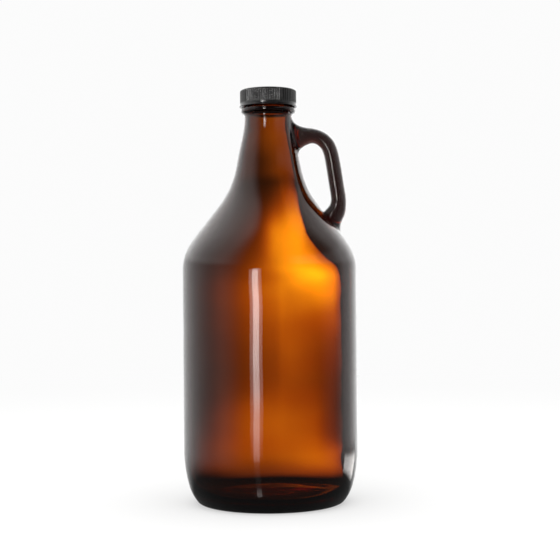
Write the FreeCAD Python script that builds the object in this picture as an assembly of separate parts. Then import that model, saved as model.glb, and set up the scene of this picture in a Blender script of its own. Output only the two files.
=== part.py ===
import FreeCAD, Part
import math
import os
from FreeCAD import Vector

# Half-gallon (64 US fl oz) handled glass growler with a screw cap, in three pieces:
#   glass_bottle  body, shoulder, neck, loop handle, transfer bead, threaded finish
#   screw_cap     rigid ribbed shell with an internal thread
#   cone_liner    soft cone liner held under the cap's top panel
#
# Millimetres, +Z up.  The origin is on the bottle's axis, at the plane it
# stands on.  The handle lies in the XZ plane on the +X side.
# Profiles are (radius, z) points in that plane, revolved about Z.

# ---- bottle body, outside ---------------------------------------------------
BODY_R = 62.0            # straight wall
WALL_TOP_Z = 166.0       # straight wall ends, shoulder starts
RING_INNER_R = 44.0      # flat bearing ring under the base
RING_OUTER_R = 48.5
PUSH_UP = 5.0            # height of the base's centre above the bearing ring

# (radius, z) under the base, from the axis to the bearing ring
BASE_UNDER = [(0.0, PUSH_UP), (12.0, 4.72), (24.0, 3.80), (34.0, 2.25),
              (40.0, 0.75), (RING_INNER_R, 0.0)]

# tangent arcs from the bearing ring up: (arc radius, slope at its end in
# degrees); one more arc, sized to fit, closes to the wall
HEEL_ARCS = [(5.71, 52.0), (31.0, 74.0)]

# (radius, z) from the wall up to the neck's top
SHOULDER = [(BODY_R, WALL_TOP_Z), (61.30, 172.93), (59.22, 179.17),
            (56.01, 185.06), (52.10, 190.71), (47.89, 196.18),
            (43.64, 201.57), (39.41, 206.95), (35.26, 212.42),
            (31.42, 218.07), (28.18, 223.96), (25.69, 230.15),
            (23.83, 236.57), (22.43, 243.17), (21.11, 249.88),
            (19.62, 256.65), (18.20, 263.40), (17.20, 270.00),
            (16.90, 275.20)]

# ---- 38 mm continuous-thread finish -------------------------------------------
PITCH = 25.4 / 6.0       # six threads to the inch
FINISH_R = 17.40         # wall between the threads
GLASS_THREAD_R = 18.62   # crest of the glass thread
GLASS_THREAD_ROOT = 0.5  # depth its root is buried in the wall
GLASS_THREAD_TOP_Z = 289.00    # centre of the ridge at its upper end
GLASS_THREAD_TOP_ANGLE = 60.0  # direction of that end, degrees
GLASS_THREAD_TURN = 420.0      # degrees
BEAD_R = 19.30           # transfer bead
BEAD_TOP_Z = 281.50
LIP_Z = 291.85           # top of the lip
MOUTH_R = 14.20          # bore of the mouth
MOUTH_EDGE_Z = 290.75    # the lip's inner rounding meets the bore

# ---- bottle cavity --------------------------------------------------------------
NECK_T = 3.05            # wall thicknesses
SHOULDER_T = 3.25
BODY_T = 3.40
FLOOR_T = 6.6
CAVITY_R = BODY_R - BODY_T
FLOOR_Z = PUSH_UP + FLOOR_T
CAVITY_WALL_Z = 44.0     # bottom of the cavity's straight wall
OFFSET_STEPS = 30        # samples taken along the shoulder
OFFSET_TOP_Z = 263.5     # above this the cavity leaves the shoulder's offset
THROAT_R = 13.85         # straight throat below the mouth
THROAT_Z0 = 271.5
THROAT_Z1 = 284.5
CAVITY_TOP_Z = 292.5     # clear of the lip, so that the cut opens the mouth

# (radius, z) from the floor's centre, round the heel, to the straight wall
CAVITY_HEEL = [(0.0, FLOOR_Z), (14.0, FLOOR_Z - 0.35), (26.0, FLOOR_Z - 1.6),
               (36.0, 8.1), (43.0, 7.15), (48.5, 7.9), (52.5, 10.4),
               (55.1, 14.4), (56.85, 20.0), (57.95, 28.0), (58.45, 36.0),
               (CAVITY_R, CAVITY_WALL_Z)]

# ---- handle -----------------------------------------------------------------------
HANDLE_W = 12.6          # bar width across the XZ plane
HANDLE_POWER = 2.35      # superellipse exponent of its section; 2 is an ellipse
HANDLE_STEPS = 10        # spans in each half of a section

# stations from the neck, out over the loop and down to the shoulder:
# (x, z of the loop's outer edge, x, z of its inner edge, width along Y)
HANDLE = [
    (13.4, 275.2, 13.4, 245.2, 19.0),
    (16.9, 273.4, 16.9, 248.2, 17.4),
    (19.4, 269.2, 19.4, 249.8, 15.6),
    (22.2, 267.7, 22.2, 251.4, 14.2),
    (26.6, 267.40, 25.9, 254.1, 13.2),
    (32.8, 266.5, 30.8, 256.0, 12.7),
    (38.5, 264.6, 34.4, 255.2, HANDLE_W),
    (43.2, 261.5, 37.2, 252.8, HANDLE_W),
    (46.8, 257.4, 38.8, 249.9, HANDLE_W),
    (49.4, 251.5, 39.85, 246.3, HANDLE_W),
    (51.1, 244.0, 40.8, 241.2, HANDLE_W),
    (52.6, 235.0, 42.0, 233.3, HANDLE_W),
    (53.9, 226.0, 43.2, 225.0, HANDLE_W),
    (55.1, 218.2, 44.2, 218.6, 12.7),
    (55.3, 211.4, 44.3, 214.9, 13.1),
    (54.4, 205.4, 43.0, 211.4, 13.9),
    (52.0, 199.8, 40.2, 208.3, 15.2),
    (49.0, 194.4, 35.8, 205.2, 16.8),
    (44.6, 189.6, 29.5, 202.2, 18.2),
]

# ---- thread ridges, glass and cap -----------------------------------------------
THREAD_STEP = 15.0       # degrees between loft sections
THREAD_END_WIDTH = 0.55  # share of the full width left at the faded ends
THREAD_END_RISE = 0.55   # share of the way from root to wall the ends reach

# ---- cap shell ----------------------------------------------------------------------
CAP_Z0 = 282.00          # bottom rim
CAP_Z1 = 294.25          # top
CAP_R = 20.15            # over the ribs
CAP_RIM_R = 20.60        # over the flared bottom rim
CAP_TOP_T = 1.30
CAP_DISH = 0.22          # depth of the shallow recess in the top
CEILING_Z = CAP_Z1 - CAP_TOP_T
CAP_BORE_R = 18.95       # inside, between the threads
SEAT_BEAD_R = 18.55      # small bead that keeps the liner in its seat
RIB_COUNT = 72
RIB_DEPTH = 0.34
RIB_Z0 = 284.15          # ribs end above a plain flared band
RIB_OVERLAP = 0.05       # ribs of the cutting shape stand proud of the cap
GROOVE_CLEAR_R = 2.0     # the cutting ring's reach beyond the cap
GROOVE_CLEAR_Z = 1.0
CAP_THREAD_R = 17.75     # crest of the cap's thread
CAP_THREAD_ROOT = 0.30   # depth its root is buried in the wall
CAP_THREAD_TURN = 450.0  # degrees
CAP_THREAD_LEAD = 150.0  # degrees it runs on past the glass thread's top end
CAP_THREAD_SHIFT = 0.12  # above midway between the glass thread's turns

# ---- cone liner -----------------------------------------------------------------------
LINER_R = 18.88
LINER_T = 0.95
LINER_GAP = 0.05         # running gap under the cap's top panel
LINER_BEVEL = 0.15
CONE_TOP_R = 13.95
CONE_END_R = 11.60
CONE_LEN = 6.6
CONE_T = 0.95


# ---- helpers ------------------------------------------------------------------------------
def in_plane(radius, z):
    return Vector(radius, 0.0, z)


def spline(points, *end_tangents):
    """Interpolated curve, optionally with its start and end tangents."""
    curve = Part.BSplineCurve()
    if end_tangents:
        start, end = end_tangents
        curve.interpolate(Points=points, InitialTangent=start, FinalTangent=end)
    else:
        curve.interpolate(Points=points)
    return curve


def profile_spline(points, start, end):
    """Spline through (radius, z) points with (radius, z) end tangents."""
    return spline([in_plane(*p) for p in points], in_plane(*start), in_plane(*end))


def path(start, *steps):
    """Chain of edges: a step is a line's end, or an arc's (middle, end)."""
    edges = []
    for step in steps:
        if isinstance(step[0], tuple):
            middle, end = step
            arc = Part.Arc(in_plane(*start), in_plane(*middle), in_plane(*end))
            edges.append(arc.toShape())
        else:
            end = step
            edges.append(Part.makeLine(in_plane(*start), in_plane(*end)))
        start = end
    return edges


def revolve(edges):
    face = Part.Face(Part.Wire(edges))
    return face.revolve(Vector(0, 0, 0), Vector(0, 0, 1), 360)


def smooth(start, end, x):
    """Smooth step from 0 at start to 1 at end; end may be the lower one."""
    share = min(1.0, max(0.0, (x - start) / (end - start)))
    return share * share * (3.0 - 2.0 * share)


def thread_ridge(top_z, top_angle, turn, root_r, wall_r, crest_r, base_w, crest_w, fade):
    """Rounded right-handed ridge, fading into the wall over fade degrees at each end.

    It is built downward from its top end.  crest_r lies outside wall_r for a
    thread on a neck and inside it for one in a cap; root_r is buried in the wall.
    """
    sections = []
    count = int(round(turn / THREAD_STEP))
    for i in range(count + 1):
        run = turn * i / count
        grow = smooth(0.0, fade, min(run, turn - run))
        # the ridge sinks just under the wall at its very ends
        end_r = root_r + (wall_r - root_r) * THREAD_END_RISE
        top_r = end_r * (1 - grow) + crest_r * grow
        width_share = THREAD_END_WIDTH + (1 - THREAD_END_WIDTH) * grow
        base = base_w * width_share
        crest = crest_w * width_share
        z = top_z - PITCH * run / 360.0
        angle = math.radians(top_angle - run)

        def at(radius, dz):
            return Vector(radius * math.cos(angle), radius * math.sin(angle), z + dz)

        height = top_r - root_r
        # (radius, half width) up one flank
        flank = [(root_r, base / 2),
                 (root_r + height * 0.62, (base * 0.46 + crest * 0.54) / 2),
                 (top_r - height * 0.06, crest / 2 * 0.80)]
        points = [at(radius, -half) for radius, half in flank]
        points.append(at(top_r, 0.0))
        points += [at(radius, half) for radius, half in reversed(flank)]
        sections.append(Part.Wire([spline(points).toShape(),
                                   Part.makeLine(points[-1], points[0])]))
    return Part.makeLoft(sections, True, False)


# ---- glass bottle ---------------------------------------------------------------------------
def heel_edges():
    """The heel's arcs, and the height where the wall starts."""
    r, z, slope = RING_OUTER_R, 0.0, 0.0
    edges = []
    for radius, end_degrees in HEEL_ARCS + [(None, 90.0)]:
        end_slope = math.radians(end_degrees)
        if radius is None:
            radius = (BODY_R - r) / (math.sin(end_slope) - math.sin(slope))

        def at(angle):
            return (r + radius * (math.sin(angle) - math.sin(slope)),
                    z + radius * (math.cos(slope) - math.cos(angle)))

        end = at(end_slope)
        edges += path((r, z), (at((slope + end_slope) / 2.0), end))
        (r, z), slope = end, end_slope
    return edges, z


def bottle_outside(shoulder):
    """Solid outside shape, closed across the mouth."""
    under = profile_spline(BASE_UNDER, (1, 0), (1, 0))
    heel, wall_z = heel_edges()
    edges = [under.toShape()]
    edges += path((RING_INNER_R, 0.0), (RING_OUTER_R, 0.0))
    edges += heel
    edges += path((BODY_R, wall_z), (BODY_R, WALL_TOP_Z))
    edges.append(shoulder.toShape())
    edges += path(
        SHOULDER[-1],
        # concave throat, rounded bead, flat step to the finish
        ((17.22, 276.60), (18.10, 277.45)),
        ((18.98, 277.98), (BEAD_R, 278.90)),
        (BEAD_R, 280.35),
        ((19.00, 281.12), (18.25, BEAD_TOP_Z)),
        (17.75, BEAD_TOP_Z),
        ((17.50, 281.60), (FINISH_R, 281.85)),
        # finish wall and rounded lip
        (FINISH_R, 290.45),
        ((16.99, 291.44), (16.00, LIP_Z)),
        (15.30, LIP_Z),
        ((14.52, 291.53), (MOUTH_R, MOUTH_EDGE_Z)),
        # across the mouth and down the axis
        (0.0, MOUTH_EDGE_Z),
        (0.0, PUSH_UP))
    return revolve(edges)


def shoulder_thickness(z):
    return (NECK_T + (SHOULDER_T - NECK_T) * smooth(262.0, 215.0, z)
            + (BODY_T - SHOULDER_T) * smooth(195.0, WALL_TOP_Z, z))


def cavity_shoulder(shoulder):
    """Curve inside the shoulder at the wall's thickness, led into the throat."""
    points = [(CAVITY_R, WALL_TOP_Z)]
    first, last = shoulder.FirstParameter, shoulder.LastParameter
    for i in range(1, OFFSET_STEPS + 1):
        u = first + (last - first) * i / OFFSET_STEPS
        point = shoulder.value(u)
        tangent = shoulder.tangent(u)[0]
        thickness = shoulder_thickness(point.z)
        points.append((point.x - tangent.z * thickness, point.z + tangent.x * thickness))
    points = [p for p in points if p[1] < OFFSET_TOP_Z]
    points += [(THROAT_R + 0.22, 268.6), (THROAT_R, THROAT_Z0)]
    return profile_spline(points, (0, 1), (0, 1))


def bottle_cavity(shoulder):
    edges = [profile_spline(CAVITY_HEEL, (1, 0), (0, 1)).toShape()]
    edges += path((CAVITY_R, CAVITY_WALL_Z), (CAVITY_R, WALL_TOP_Z))
    edges.append(cavity_shoulder(shoulder).toShape())
    edges += path(
        (THROAT_R, THROAT_Z0),
        (THROAT_R, THROAT_Z1),
        (MOUTH_R, THROAT_Z1 + 0.6),
        (MOUTH_R, CAVITY_TOP_Z),
        (0.0, CAVITY_TOP_Z),
        (0.0, FLOOR_Z))
    return revolve(edges)


def handle_section(outer_x, outer_z, inner_x, inner_z, width):
    """Rounded oblong between an outer and an inner edge point, in two halves."""
    mid_x, mid_z = (outer_x + inner_x) / 2.0, (outer_z + inner_z) / 2.0
    half_x, half_z = (outer_x - inner_x) / 2.0, (outer_z - inner_z) / 2.0
    halves = []
    for start, side in ((0.0, 1), (math.pi, -1)):
        points = []
        for i in range(HANDLE_STEPS + 1):
            angle = start + math.pi * i / HANDLE_STEPS
            cosine, sine = math.cos(angle), math.sin(angle)
            if i in (0, HANDLE_STEPS):
                # exact ends, so that the two halves meet
                cosine, sine = round(cosine), 0.0
            along = math.copysign(abs(cosine) ** (2.0 / HANDLE_POWER), cosine)
            across = math.copysign(abs(sine) ** (2.0 / HANDLE_POWER), sine)
            points.append(Vector(mid_x + half_x * along, width / 2.0 * across,
                                 mid_z + half_z * along))
        curve = spline(points, Vector(0, side, 0), Vector(0, -side, 0))
        halves.append(curve.toShape())
    return Part.Wire(halves)


def glass_bottle():
    shoulder = profile_spline(SHOULDER, (0, 1), (0, 1))
    handle = Part.makeLoft([handle_section(*station) for station in HANDLE], True, False)
    thread = thread_ridge(
        top_z=GLASS_THREAD_TOP_Z, top_angle=GLASS_THREAD_TOP_ANGLE,
        turn=GLASS_THREAD_TURN, root_r=FINISH_R - GLASS_THREAD_ROOT,
        wall_r=FINISH_R, crest_r=GLASS_THREAD_R,
        base_w=2.30, crest_w=1.20, fade=28.0)
    bottle = bottle_outside(shoulder).fuse(handle)
    # cutting after the handle is fused also trims its roots inside the bottle
    bottle = bottle.cut(bottle_cavity(shoulder))
    return bottle.fuse(thread)


# ---- screw cap --------------------------------------------------------------------------------
def cap_envelope():
    """Outside of the cap, without the grooves between its ribs."""
    dish_z = CAP_Z1 - CAP_DISH
    return revolve(path(
        (0.0, dish_z),
        (16.2, dish_z),
        ((16.50, CAP_Z1 - 0.15), (16.75, CAP_Z1)),
        (CAP_R - 1.55, CAP_Z1),
        ((CAP_R - 0.44, CAP_Z1 - 0.47), (CAP_R, CAP_Z1 - 1.60)),
        (CAP_R, RIB_Z0 - 0.10),
        ((CAP_R + 0.10, CAP_Z0 + 1.22), (CAP_RIM_R - 0.06, CAP_Z0 + 0.52)),
        ((CAP_RIM_R, CAP_Z0 + 0.24), (CAP_RIM_R - 0.22, CAP_Z0)),
        (0.0, CAP_Z0),
        (0.0, dish_z)))


def rib_grooves():
    """Ring with a toothed inside that cuts the grooves between the ribs."""
    tip_r = CAP_R + RIB_OVERLAP
    floor_r = CAP_R - RIB_DEPTH
    # (share of a rib's pitch, radius): one rib, then one groove
    tooth = [(-0.23, tip_r), (0.23, tip_r), (0.36, floor_r), (0.64, floor_r)]
    rib_pitch = 2.0 * math.pi / RIB_COUNT
    points = []
    for i in range(RIB_COUNT):
        for share, radius in tooth:
            angle = (i + share) * rib_pitch
            points.append(Vector(radius * math.cos(angle), radius * math.sin(angle), RIB_Z0))
    points.append(points[0])
    height = CAP_Z1 - RIB_Z0 + GROOVE_CLEAR_Z
    toothed = Part.Face(Part.makePolygon(points)).extrude(Vector(0, 0, height))
    blank = Part.makeCylinder(CAP_R + GROOVE_CLEAR_R, height, Vector(0, 0, RIB_Z0))
    return blank.cut(toothed)


def cap_hollow():
    """Inside of the cap: liner seat, seat bead, bore and flared mouth."""
    bottom_z = CAP_Z0 - 0.05     # just below the rim, for a clean cut
    return revolve(path(
        (0.0, CEILING_Z),
        (CAP_BORE_R - 0.35, CEILING_Z),
        (CAP_BORE_R, CEILING_Z),
        (CAP_BORE_R, CEILING_Z - 1.12),
        (SEAT_BEAD_R, CEILING_Z - 1.27),
        (SEAT_BEAD_R, CEILING_Z - 1.42),
        (CAP_BORE_R, CEILING_Z - 1.85),
        (CAP_BORE_R, CAP_Z0 + 0.75),
        (CAP_BORE_R + 0.55, bottom_z),
        (0.0, bottom_z),
        (0.0, CEILING_Z)))


def screw_cap():
    shell = cap_envelope().cut(rib_grooves())
    shell = shell.cut(cap_hollow())
    thread = thread_ridge(
        top_z=(GLASS_THREAD_TOP_Z - PITCH / 2.0 + CAP_THREAD_SHIFT
               + PITCH * CAP_THREAD_LEAD / 360.0),
        top_angle=GLASS_THREAD_TOP_ANGLE + CAP_THREAD_LEAD,
        turn=CAP_THREAD_TURN, root_r=CAP_BORE_R + CAP_THREAD_ROOT,
        wall_r=CAP_BORE_R, crest_r=CAP_THREAD_R,
        base_w=1.75, crest_w=0.80, fade=20.0)
    return shell.fuse(thread)


# ---- cone liner -------------------------------------------------------------------------------
def cone_liner():
    """Flat bevelled disc with a hollow cone hanging below it."""
    top_z = CEILING_Z - LINER_GAP
    under_z = top_z - LINER_T
    tip_z = under_z - CONE_LEN
    bevel_r = LINER_R - LINER_BEVEL
    cone_inner_r = CONE_TOP_R - CONE_T
    return revolve(path(
        (0.0, top_z),
        (bevel_r, top_z),
        (LINER_R, top_z - LINER_BEVEL),
        (LINER_R, under_z + LINER_BEVEL),
        (bevel_r, under_z),
        # cone's outside, rounded tip, inside
        (CONE_TOP_R + 0.25, under_z),
        ((CONE_TOP_R + 0.02, under_z - 0.09), (CONE_TOP_R - 0.10, under_z - 0.30)),
        (CONE_END_R + 0.05, tip_z + 0.45),
        ((CONE_END_R - CONE_T / 2 + 0.02, tip_z),
         (CONE_END_R - CONE_T + 0.03, tip_z + 0.45)),
        (cone_inner_r - 0.32, under_z - 0.55),
        ((cone_inner_r - 0.46, under_z - 0.18), (cone_inner_r - 0.90, under_z)),
        (0.0, under_z),
        (0.0, top_z)))


os.makedirs("parts", exist_ok=True)
for build in (glass_bottle, screw_cap, cone_liner):
    shape = build()
    # a boolean wraps its result in a compound; a lone solid is written bare
    solid = shape.Solids[0] if len(shape.Solids) == 1 else shape
    solid.exportStep("parts/%s.step" % build.__name__)
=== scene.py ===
# Amber glass growler with a loop handle and a ribbed black screw cap over a cone liner.
# It stands on z = 0, on the Z axis, with the handle on +X.  The camera looks from -Y, so +X is
# on its right.  Shapes are worked out in millimetres; the scene is in metres.
import math
from collections import namedtuple

import bmesh
import bpy
import numpy as np
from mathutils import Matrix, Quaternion, Vector


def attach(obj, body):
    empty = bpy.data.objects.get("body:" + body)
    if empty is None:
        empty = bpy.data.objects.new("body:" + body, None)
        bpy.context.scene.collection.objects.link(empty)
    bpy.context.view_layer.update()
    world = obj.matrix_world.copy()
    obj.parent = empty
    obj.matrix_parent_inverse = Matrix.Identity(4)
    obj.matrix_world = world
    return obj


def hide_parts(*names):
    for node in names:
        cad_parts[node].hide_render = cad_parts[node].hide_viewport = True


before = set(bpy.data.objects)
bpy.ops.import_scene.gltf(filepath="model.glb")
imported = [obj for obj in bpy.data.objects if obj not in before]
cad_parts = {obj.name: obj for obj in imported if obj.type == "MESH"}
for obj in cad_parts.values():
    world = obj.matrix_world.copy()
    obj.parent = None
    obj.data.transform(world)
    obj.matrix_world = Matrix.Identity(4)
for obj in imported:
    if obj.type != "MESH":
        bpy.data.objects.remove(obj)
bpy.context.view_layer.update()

MM = 0.001
DEGREES = 180 / math.pi
scene = bpy.context.scene


# ============================ curves and profiles ============================
# Profiles are lists of (radius, height).
def run_length(points):
    """Distance along a polyline at each of its points."""
    steps = np.linalg.norm(np.diff(points, axis=0), axis=1)
    return np.concatenate([[0], np.cumsum(steps)])


def even(points, count):
    """The polyline resampled into count steps of equal length."""
    points = np.array(points, float)
    along = run_length(points)
    wanted = np.linspace(0, along[-1], count + 1)
    return np.stack([np.interp(wanted, along, points[:, c]) for c in range(points.shape[1])],
                    axis=1)


def clamped_spline(points, start_dir, end_dir, count):
    """Cubic through points with the given end directions, in count even steps."""
    p = np.array(points, float)
    along = run_length(p)
    gap = np.diff(along)
    total = len(p)
    matrix = np.zeros((total, total))
    rhs = np.zeros((total, p.shape[1]))
    matrix[0, 0] = matrix[-1, -1] = 1
    rhs[0] = np.array(start_dir, float) / np.linalg.norm(start_dir)
    rhs[-1] = np.array(end_dir, float) / np.linalg.norm(end_dir)
    for i in range(1, total - 1):
        matrix[i, i - 1] = gap[i]
        matrix[i, i] = 2 * (gap[i - 1] + gap[i])
        matrix[i, i + 1] = gap[i - 1]
        rhs[i] = 3 * (gap[i] / gap[i - 1] * (p[i] - p[i - 1])
                      + gap[i - 1] / gap[i] * (p[i + 1] - p[i]))
    slope = np.linalg.solve(matrix, rhs)
    u = np.linspace(0, along[-1], max(400, 20 * total))
    k = np.clip(np.searchsorted(along, u, side="right") - 1, 0, total - 2)
    t = ((u - along[k]) / gap[k])[:, None]
    span = gap[k][:, None]
    dense = ((2 * t**3 - 3 * t**2 + 1) * p[k] + (t**3 - 2 * t**2 + t) * span * slope[k]
             + (-2 * t**3 + 3 * t**2) * p[k + 1] + (t**3 - t**2) * span * slope[k + 1])
    return even(dense, count)


def line(start, end, count):
    return np.linspace(start, end, count + 1)


def arc(start, via, end, count):
    """Circular arc through three points, in count steps."""
    a, b, c = (np.array(v, float) for v in (start, via, end))
    det = 2 * (a[0] * (b[1] - c[1]) + b[0] * (c[1] - a[1]) + c[0] * (a[1] - b[1]))
    x = ((a @ a) * (b[1] - c[1]) + (b @ b) * (c[1] - a[1]) + (c @ c) * (a[1] - b[1])) / det
    y = ((a @ a) * (c[0] - b[0]) + (b @ b) * (a[0] - c[0]) + (c @ c) * (b[0] - a[0])) / det
    centre = np.array([x, y])
    radius = np.linalg.norm(a - centre)
    angle_a, angle_b, angle_c = (math.atan2(*(v - centre)[::-1]) for v in (a, b, c))
    sweep = (angle_c - angle_a) % (2 * math.pi)
    if (angle_b - angle_a) % (2 * math.pi) > sweep:
        sweep -= 2 * math.pi
    t = angle_a + np.linspace(0, 1, count + 1) * sweep
    return np.stack([x + radius * np.cos(t), y + radius * np.sin(t)], axis=1)


def join(*parts):
    """Parts end to end; a point shared by two neighbours is kept once."""
    joined = [np.array(parts[0], float)]
    for part in parts[1:]:
        part = np.array(part, float)
        shared = np.linalg.norm(part[0] - joined[-1][-1]) < 1e-6
        joined.append(part[1:] if shared else part)
    return np.concatenate(joined)


def outline(start, *steps):
    """Profile from start; a step is (end, count) for a line, (via, end, count) for an arc."""
    parts = []
    for *via, end, count in steps:
        parts.append(arc(start, via[0], end, count) if via else line(start, end, count))
        start = end
    return join(*parts)


def smoothstep(low, high, value):
    t = np.clip((np.asarray(value, float) - low) / (high - low), 0, 1)
    return t * t * (3 - 2 * t)


def waves(angle, along, seed, shortest=18.0, longest=60.0, count=9):
    """Smooth seeded undulation round the axis, about -1 to 1."""
    rng = np.random.RandomState(seed)
    total = np.zeros(np.broadcast(angle, along).shape)
    for _ in range(count):
        lobes = rng.randint(1, 7)
        phase = rng.uniform(0, 6.28)
        wavelength = rng.uniform(shortest, longest)
        lean = rng.choice([-1, 1])
        total = total + (np.sin(lobes * angle + phase + along * 2 * math.pi / wavelength * lean)
                         / count ** 0.5)
    return total


# ============================ meshes ============================
def make_mesh(name, points, faces, adjust=None):
    """Smooth-shaded object from points in mm; adjust may change its bmesh first."""
    mesh = bpy.data.meshes.new(name)
    mesh.from_pydata([tuple(c * MM for c in v) for v in points], [], faces)
    bm = bmesh.new()
    bm.from_mesh(mesh)
    bmesh.ops.delete(bm, geom=[v for v in bm.verts if not v.link_faces], context="VERTS")
    if adjust:
        adjust(bm)
    bmesh.ops.recalc_face_normals(bm, faces=bm.faces)
    for face in bm.faces:
        face.smooth = True
    bm.to_mesh(mesh)
    bm.free()
    ob = bpy.data.objects.new(name, mesh)
    scene.collection.objects.link(ob)
    return ob


def turned_grid(profile, segments):
    """Radius, height and angle arrays: a row per profile point, a column per segment."""
    angle = np.arange(segments) * 2 * math.pi / segments
    return (np.repeat(profile[:, 0][:, None], segments, axis=1),
            np.repeat(profile[:, 1][:, None], segments, axis=1),
            np.repeat(angle[None, :], len(profile), axis=0))


def grid_points(radius, height, angle):
    xyz = np.stack([radius * np.cos(angle), radius * np.sin(angle), height], axis=2)
    return [tuple(v) for v in xyz.reshape(-1, 3)]


def revolve(name, profile, segments, shape=None):
    """Closed mesh from a profile that starts and ends on the axis."""
    radius, height, angle = turned_grid(profile[1:-1], segments)
    if shape:
        radius = shape(radius, height, angle)
    points = grid_points(radius, height, angle)
    rows = len(profile) - 2
    faces = []
    for i in range(rows - 1):
        here, above = i * segments, (i + 1) * segments
        for j in range(segments):
            k = (j + 1) % segments
            faces.append((here + j, here + k, above + k, above + j))
    for row, pole in ((0, profile[0]), (rows - 1, profile[-1])):
        centre = len(points)
        points.append((0.0, 0.0, float(pole[1])))
        for j in range(segments):
            faces.append((row * segments + j, row * segments + (j + 1) % segments, centre))
    return make_mesh(name, points, faces)


# ============================ screw thread, mm and degrees ============================
THREAD_PITCH = 25.4 / 6
THREAD_TOP_Z, THREAD_TOP_ANGLE = 289.0, 60.0


def thread_height(angle, z, top_z, top_angle, turn, base_width, crest_width, fade):
    """0 to 1 height of a helical ridge that runs down from its top for turn degrees.

    It fades in and out over fade degrees at its two ends."""
    height = np.zeros(np.broadcast(angle, z).shape)
    for lap in range(2):
        a = (top_angle - np.degrees(angle)) % 360 + 360 * lap
        inside = (a >= 0) & (a <= turn)
        off_crest = np.abs(z - (top_z - THREAD_PITCH * a / 360))
        grow = smoothstep(0, fade, np.minimum(a, turn - a))
        width = 0.55 + 0.45 * grow
        ridge = 1 - smoothstep(crest_width * width * 0.42, base_width * width / 2, off_crest)
        height = np.maximum(height, np.where(inside, ridge * grow, 0))
    return height


# ============================ bottle dimensions, mm ============================
BODY_R, WALL_TOP = 62.0, 166.0
FOOT_R = 48.5                     # outer radius of the flat ring the bottle stands on
NECK_R, NECK_TOP = 16.90, 275.20
BEAD_R = 19.30                    # bead below the thread
FINISH_R, THREAD_R = 17.40, 18.62
MOUTH_R, MOUTH_Z, THROAT_R = 14.20, 290.75, 13.85
LIP_Z = 291.85
NECK_WALL, SHOULDER_WALL, BODY_WALL, FLOOR_WALL = 3.05, 3.25, 3.40, 6.6
PUSH_UP = 5.0                     # rise of the underside at the axis
FLOOR_Z = PUSH_UP + FLOOR_WALL
INNER_R = BODY_R - BODY_WALL

# (radius, height) from the axis out to the foot ring
UNDERSIDE = [(0.0, PUSH_UP), (12.0, 4.72), (24.0, 3.80), (34.0, 2.25), (40.0, 0.75), (44.0, 0.0)]
# (radius, tilt in degrees at its end, steps); the last radius follows from the body's
HEEL_ARCS = [(5.71, 52.0, 12), (31.0, 74.0, 12), (None, 90.0, 14)]
# (radius, height) of the outside, from the top of the wall to the top of the neck
SHOULDER = [
    (BODY_R, WALL_TOP), (61.30, 172.93), (59.22, 179.17), (56.01, 185.06), (52.10, 190.71),
    (47.89, 196.18), (43.64, 201.57), (39.41, 206.95), (35.26, 212.42), (31.42, 218.07),
    (28.18, 223.96), (25.69, 230.15), (23.83, 236.57), (22.43, 243.17), (21.11, 249.88),
    (19.62, 256.65), (18.20, 263.40), (17.20, 270.00), (NECK_R, NECK_TOP)]
# (radius, height) of the inside, from the axis to the start of the wall
INNER_HEEL = [
    (0.0, FLOOR_Z), (14.0, FLOOR_Z - 0.35), (26.0, FLOOR_Z - 1.6), (36.0, 8.1), (43.0, 7.15),
    (48.5, 7.9), (52.5, 10.4), (55.1, 14.4), (56.85, 20.0), (57.95, 28.0), (58.45, 36.0),
    (INNER_R, 44.0)]
# Handle stations from the upper root to the lower:
# (outer side x, z, inner side x, z, width across in y)
HANDLE = np.array([
    (13.4, 275.2, 13.4, 245.2, 19.0), (16.9, 273.4, 16.9, 248.2, 17.4),
    (19.4, 269.2, 19.4, 249.8, 15.6), (22.2, 267.7, 22.2, 251.4, 14.2),
    (26.6, 267.4, 25.9, 254.1, 13.2), (32.8, 266.5, 30.8, 256.0, 12.7),
    (38.5, 264.6, 34.4, 255.2, 12.6), (43.2, 261.5, 37.2, 252.8, 12.6),
    (46.8, 257.4, 38.8, 249.9, 12.6), (49.4, 251.5, 39.85, 246.3, 12.6),
    (51.1, 244.0, 40.8, 241.2, 12.6), (52.6, 235.0, 42.0, 233.3, 12.6),
    (53.9, 226.0, 43.2, 225.0, 12.6), (55.1, 218.2, 44.2, 218.6, 12.7),
    (55.3, 211.4, 44.3, 214.9, 13.1), (54.4, 205.4, 43.0, 211.4, 13.9),
    (52.0, 199.8, 40.2, 208.3, 15.2), (49.0, 194.4, 35.8, 205.2, 16.8),
    (44.6, 189.6, 29.5, 202.2, 18.2)])
BAR_START, BAR_END = 4.15, 15.85  # station numbers; fillets take over beyond them
BAR_STEPS, FILLET_STEPS = 86, 14

BOTTLE_SEGMENTS = 192
# Patches cut out of the wall on +X for the handle's roots.  Height range in mm, then size in
# faces; both outlines have the same number of points.
LOWER_Z, LOWER_ROWS, LOWER_WIDTH = (190.4, 207.7), 34, 12
UPPER_Z, UPPER_ROWS, UPPER_WIDTH = (247.6, 275.0), 18, 28
ROWS_BETWEEN = 26


# ============================ bottle profile ============================
def heel_points():
    """The heel's tangent arcs, from the foot ring to the start of the wall."""
    radius, z, tilt = FOOT_R, 0.0, 0.0
    points = [(radius, z)]
    for bend, degrees, count in HEEL_ARCS:
        end = math.radians(degrees)
        if bend is None:
            bend = (BODY_R - radius) / (math.sin(end) - math.sin(tilt))
        for t in np.linspace(tilt, end, count + 1)[1:]:
            points.append((radius + bend * (math.sin(t) - math.sin(tilt)),
                           z + bend * (math.cos(tilt) - math.cos(t))))
        radius, z = points[-1]
        tilt = end
    return points


shoulder = clamped_spline(SHOULDER, (0, 1), (0, 1), 4000)
shoulder_dir = np.gradient(shoulder, axis=0)
shoulder_dir /= np.linalg.norm(shoulder_dir, axis=1)[:, None]


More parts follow.
